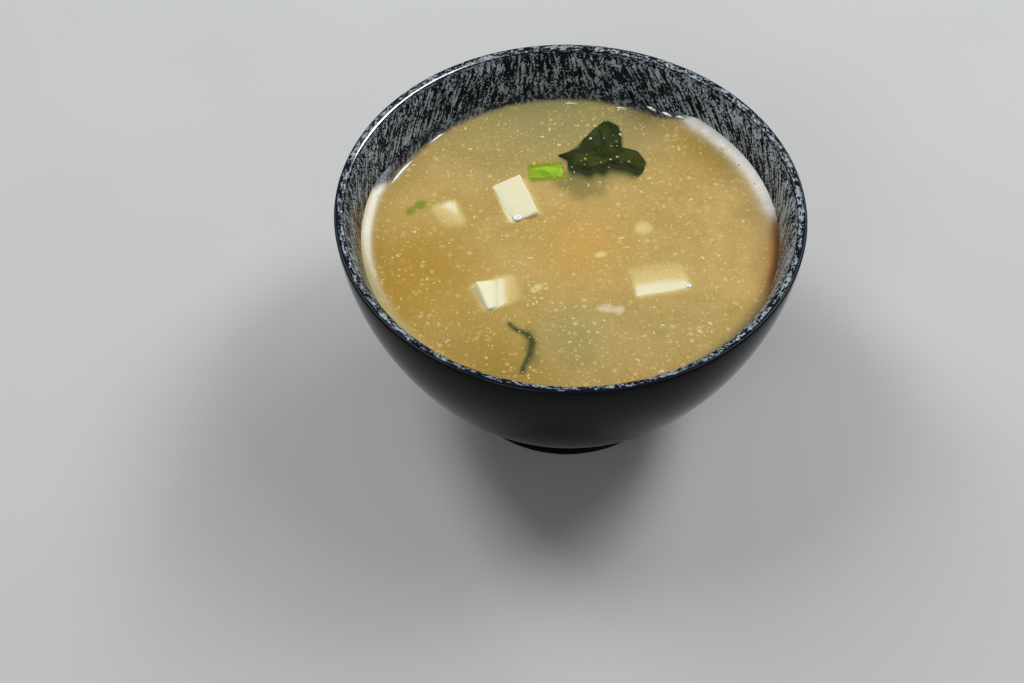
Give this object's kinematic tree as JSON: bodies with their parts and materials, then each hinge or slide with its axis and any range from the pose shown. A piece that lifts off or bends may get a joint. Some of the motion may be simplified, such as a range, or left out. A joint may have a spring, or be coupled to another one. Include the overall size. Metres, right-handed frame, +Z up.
{
  "type": "miso soup in a lacquered bowl",
  "caption": "Round footed black lacquered bowl with a speckled grey inside, filled with cloudy miso soup, tofu cubes, wakame seaweed and spring onion.",
  "frame": {"origin": "middle of the foot's underside, on the table", "axes": "+Z up out of the bowl's mouth; -Y faces the front"},
  "size_m": [0.12, 0.12, 0.067],
  "materials": {
    "black_lacquer": "glossy black lacquer outside; silver-grey flecks on black on the lip and inside",
    "soup": "cloudy golden-brown broth with pale grains, wet surface",
    "tofu": "soft cream-white silken tofu, wet",
    "wakame": "dark green seaweed, wet",
    "spring_onion": "fresh green, wet"
  },
  "bodies": {
    "root": {"bowl": "black_lacquer", "soup": "soup", "tofu_back": "tofu", "tofu_back_left": "tofu", "tofu_front_left": "tofu", "tofu_front_right": "tofu", "wakame_leaf": "wakame", "wakame_strand": "wakame", "spring_onion": "spring_onion", "spring_onion_small": "spring_onion"}
  },
  "joints": []
}
